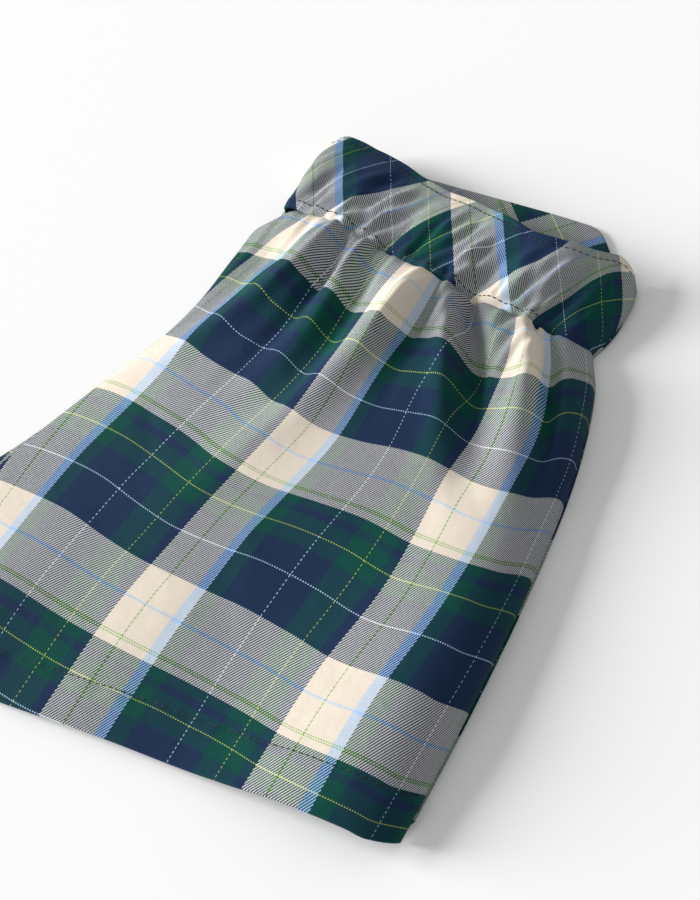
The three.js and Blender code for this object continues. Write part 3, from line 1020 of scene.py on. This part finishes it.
class SKORT_OT_waistband(bpy.types.Operator):
    """Makes the front and back of the waistband, cut on the bias"""

    bl_idname = "skort.waistband"
    bl_label = "Waistband"

    def execute(self, context):
        sizes, colours = context.scene.skort_sizes, context.scene.skort_colours
        bias = finished("bias plaid twill", plaid_material, colours)
        thickness = even_cloth(sizes.band_cloth / MM)
        upper = cloth_wall(band_front, sizes, BAND_FRONT_GRID, thickness, BAND_FLOOR)
        front = make_cloth("waistband_front", upper, bias_plaid, sizes, bias)
        panel = lying_panel(BAND_SECTIONS, "left", "back_top", "seam", BAND_BACK_TOP)
        lower = cloth_wall(panel, sizes, BAND_BACK_GRID, thickness, flat=True)
        back = make_cloth("waistband_back", lower, inside_bias_plaid, sizes, bias)
        return {"FINISHED"}


# Where the shorts start, end and part into legs, down the skirt's back panel.
SHORTS_WAIST, SHORTS_HEM, SHORTS_CROTCH = 0.012, 0.75, 0.47
# Half the seam between the quarters, and the gap between the legs at their hem.
SHORTS_HALF_SEAM, SHORTS_LEG_GAP = 0.15, 12
# The middle of the shorts across the skirt, and how far each side is from it.
SHORTS_MIDDLE, SHORTS_HALF = 0.1, 0.7

ShortsSide = namedtuple("ShortsSide", "name sign flat_area")
SHORTS_SIDES = (ShortsSide("left", -1, 0.0142), ShortsSide("right", 1, 0.0130))


def shorts_quarter(side, height):
    """The upper face of one quarter of the shorts."""
    panel = lying_panel(SKIRT_SECTIONS, "back_left", "seam", "back_hem", height)

    def face(across, down, sizes):
        low = mix(SHORTS_WAIST, SHORTS_HEM, down)
        opened = smooth_step(SHORTS_CROTCH, SHORTS_HEM, low) ** 0.5
        half = SHORTS_HALF_SEAM + SHORTS_LEG_GAP / 2 * opened
        centre = panel(np.full_like(low, SHORTS_MIDDLE), low, sizes)
        centre[..., 0] += side * half
        outside = panel(np.full_like(low, SHORTS_MIDDLE + side * SHORTS_HALF), low, sizes)
        share = (1 + side * across)[..., None] / 2
        return mix(centre, outside, share)

    return face


class SKORT_OT_shorts(bpy.types.Operator):
    """Makes the four quarters of the inner shorts, which lie flat inside the skirt"""

    bl_idname = "skort.shorts"
    bl_label = "Shorts"

    def execute(self, context):
        sizes, colours = context.scene.skort_sizes, context.scene.skort_colours
        cloth = finished("shorts twill", plain_material, tuple(colours.shorts))
        thickness = even_cloth(sizes.shorts_cloth / MM)
        for layer, height in SHORTS_TOPS.items():
            for side in SHORTS_SIDES:
                quarter = shorts_quarter(side.sign, height)
                wall = cloth_wall(quarter, sizes, SHORTS_GRID, thickness, flat=True)
                node = f"shorts_{layer}_{side.name}"
                piece = make_cloth(node, wall, no_plaid, sizes, cloth)
        return {"FINISHED"}


# A stitch's width in threads, and its share of the length from one stitch to the next.
FLOAT_WIDTH, FLOAT_LENGTH = 1.3, 0.8
# How far the stitching is from the band's first and last row. It stops short of the sides, and
# its line is followed at so many points.
WAIST_EDGE_STITCHING, WAIST_SEAM_STITCHING = 3.8, 2.4
STITCHED_SHARE, STITCH_POINTS = 0.985, 700
# A direction shorter than this is past the end of the line.
NO_LENGTH = 1e-6


def stitch_row(name, points, normals, sizes, material):
    """Stitches along a line of points, each a slim rounded float of thread."""
    bpy.ops.object.select_all(action="DESELECT")
    bpy.ops.mesh.primitive_uv_sphere_add(segments=6, ring_count=5, radius=0.5)
    shape = bpy.context.object
    float_points = np.array([v.co for v in shape.data.vertices])
    float_faces = [tuple(p.vertices) for p in shape.data.polygons]
    bpy.data.objects.remove(shape)

    steps = np.linalg.norm(np.diff(points, axis=0), axis=1)
    run = np.concatenate(((0,), np.cumsum(steps)))
    pitch = sizes.stitch / MM
    width, length = sizes.thread / MM * FLOAT_WIDTH, pitch * FLOAT_LENGTH
    vertices, faces = [], []
    for middle in np.arange(pitch / 2, run[-1], pitch):
        place, ahead, up = (
            np.array([np.interp(at, run, values[:, i]) for i in range(3)])
            for at, values in ((middle, points), (middle + 1, points), (middle, normals))
        )
        along = ahead - place
        if np.linalg.norm(along) < NO_LENGTH:
            continue
        along /= np.linalg.norm(along)
        beside = np.cross(up, along)
        beside /= np.linalg.norm(beside)
        up = np.cross(along, beside)
        first = len(vertices)
        for x, y, z in float_points:
            vertices.append(place + beside * x * width + up * y * width + along * z * length)
        faces += [tuple(first + i for i in face) for face in float_faces]
    mesh = bpy.data.meshes.new(name)
    mesh.from_pydata(((np.array(vertices) - (*BOX_CENTRE, 0)) * MM).tolist(), [], faces)
    mesh.materials.append(material)
    piece = add_object(name, mesh)
    select_only(piece)
    bpy.ops.object.shade_smooth()
    return piece


def stitch_line(face, across, down, sizes):
    """Points and normals along a line on a face."""
    points = face(across, down, sizes)
    step = STITCH_SLOPE_STEP
    sideways = face(across + step, down, sizes) - face(across - step, down, sizes)
    along = face(across, down - step, sizes) - face(across, down + step, sizes)
    normal = np.cross(sideways, along)
    return points, normal / np.linalg.norm(normal, axis=-1, keepdims=True)


class SKORT_OT_stitching(bpy.types.Operator):
    """Makes the stitching of the hem, the waist edge and the waist seam"""

    bl_idname = "skort.stitching"
    bl_label = "Stitching"

    def execute(self, context):
        sizes, colours = context.scene.skort_sizes, context.scene.skort_colours
        thread = finished("sewing thread", plain_material, tuple(colours.thread), 0.6)
        across = np.linspace(-STITCHED_SHARE, STITCHED_SHARE, STITCH_POINTS)
        band_length = edge("front_top", across) - edge("seam", across)
        edge_row = WAIST_EDGE_STITCHING / band_length
        seam_row = 1 - WAIST_SEAM_STITCHING / band_length
        lines = (
            ("hem_stitching", skirt_front, hem_line(across, sizes), "plaid_twill"),
            ("waist_edge_stitching", band_front, edge_row, "plaid_bias"),
            ("waist_seam_stitching", band_front, seam_row, "plaid_bias"),
        )
        for name, face, down, slot in lines:
            points, normals = stitch_line(face, across, down, sizes)
            place_on_body(stitch_row(name, points, normals, sizes, thread))
        return {"FINISHED"}


# --- Stage ---

CAMERA_TARGET = (0.022, 0.0074, 0.0)
CAMERA_DISTANCE = 0.779
CAMERA_TURN, CAMERA_RISE, CAMERA_ROLL = (math.radians(d) for d in (43.1, 48.0, -15.0))
CAMERA_LENS, CAMERA_SENSOR = 76.0, 36.0
FLOOR_SIZE = 6.0
# One big low window on the left, and the white room round it.
WINDOW_PLACE, WINDOW_SIZE, WINDOW_POWER = (-19.8, -6.4, 7.0), 10.2, 9750.0
ROOM_BRIGHTNESS = 0.53


def looking(direction):
    """The turn that makes a light or a camera look in a direction."""
    return direction.to_track_quat("-Z", "Y")


def add_floor(colour):
    bpy.ops.object.select_all(action="DESELECT")
    bpy.ops.mesh.primitive_plane_add(size=FLOOR_SIZE, location=(0, 0, 0))
    floor = bpy.context.object
    floor.name = "floor"
    floor.data.materials.append(finished("floor", floor_material, colour))


def add_room():
    world = bpy.data.worlds.new("studio")
    bpy.context.scene.world = world
    world.use_nodes = True
    backdrop = world.node_tree.nodes["Background"]
    backdrop.inputs["Color"].default_value = (1.0, 1.0, 1.0, 1)
    backdrop.inputs["Strength"].default_value = ROOM_BRIGHTNESS


def add_window():
    light = bpy.data.lights.new("window", "AREA")
    light.size = WINDOW_SIZE
    light.energy = WINDOW_POWER
    lamp = add_object("window", light)
    lamp.location = WINDOW_PLACE
    lamp.rotation_euler = looking(-Vector(WINDOW_PLACE)).to_euler()


def add_camera():
    lens = bpy.data.cameras.new("camera")
    lens.lens = CAMERA_LENS
    lens.sensor_width = CAMERA_SENSOR
    camera = add_object("camera", lens)
    level, rise = math.cos(CAMERA_RISE), math.sin(CAMERA_RISE)
    back = Vector((math.sin(CAMERA_TURN) * level, -math.cos(CAMERA_TURN) * level, rise))
    camera.location = Vector(CAMERA_TARGET) + back * CAMERA_DISTANCE
    turned = looking(-back).to_matrix().to_4x4()
    camera.rotation_euler = (turned @ Matrix.Rotation(CAMERA_ROLL, 4, "Z")).to_euler()
    bpy.context.scene.camera = camera


class SKORT_OT_stage(bpy.types.Operator):
    """Makes the floor, the light and the camera"""

    bl_idname = "skort.stage"
    bl_label = "Floor, light and camera"

    def execute(self, context):
        add_floor(tuple(context.scene.skort_colours.floor))
        add_room()
        add_window()
        add_camera()
        context.scene.view_settings.view_transform = "Standard"
        return {"FINISHED"}


class SKORT_PT_panel(bpy.types.Panel):
    """The skort's pieces, sizes and colours"""

    bl_label = "Skort"
    bl_idname = "SKORT_PT_panel"
    bl_space_type = "VIEW_3D"
    bl_region_type = "UI"
    bl_category = "Skort"

    def draw(self, context):
        for operator in OPERATORS:
            self.layout.operator(operator.bl_idname)
        for settings in (context.scene.skort_sizes, context.scene.skort_colours):
            box = self.layout.box()
            for name in settings.__annotations__:
                box.prop(settings, name)


OPERATORS = (
    SKORT_OT_skirt,
    SKORT_OT_waistband,
    SKORT_OT_shorts,
    SKORT_OT_stitching,
    SKORT_OT_stage,
)
CLASSES = (SkortSizes, SkortColours, *OPERATORS, SKORT_PT_panel)


def register():
    for item in CLASSES:
        bpy.utils.register_class(item)
    bpy.types.Scene.skort_sizes = bpy.props.PointerProperty(type=SkortSizes)
    bpy.types.Scene.skort_colours = bpy.props.PointerProperty(type=SkortColours)


def unregister():
    del bpy.types.Scene.skort_colours
    del bpy.types.Scene.skort_sizes
    for item in reversed(CLASSES):
        bpy.utils.unregister_class(item)


def main():
    register()
    bpy.ops.object.select_all(action="DESELECT")
    bpy.ops.skort.skirt()
    bpy.ops.skort.waistband()
    bpy.ops.skort.shorts()
    bpy.ops.skort.stitching()
    bpy.ops.skort.stage()


if __name__ == "__main__":
    main()
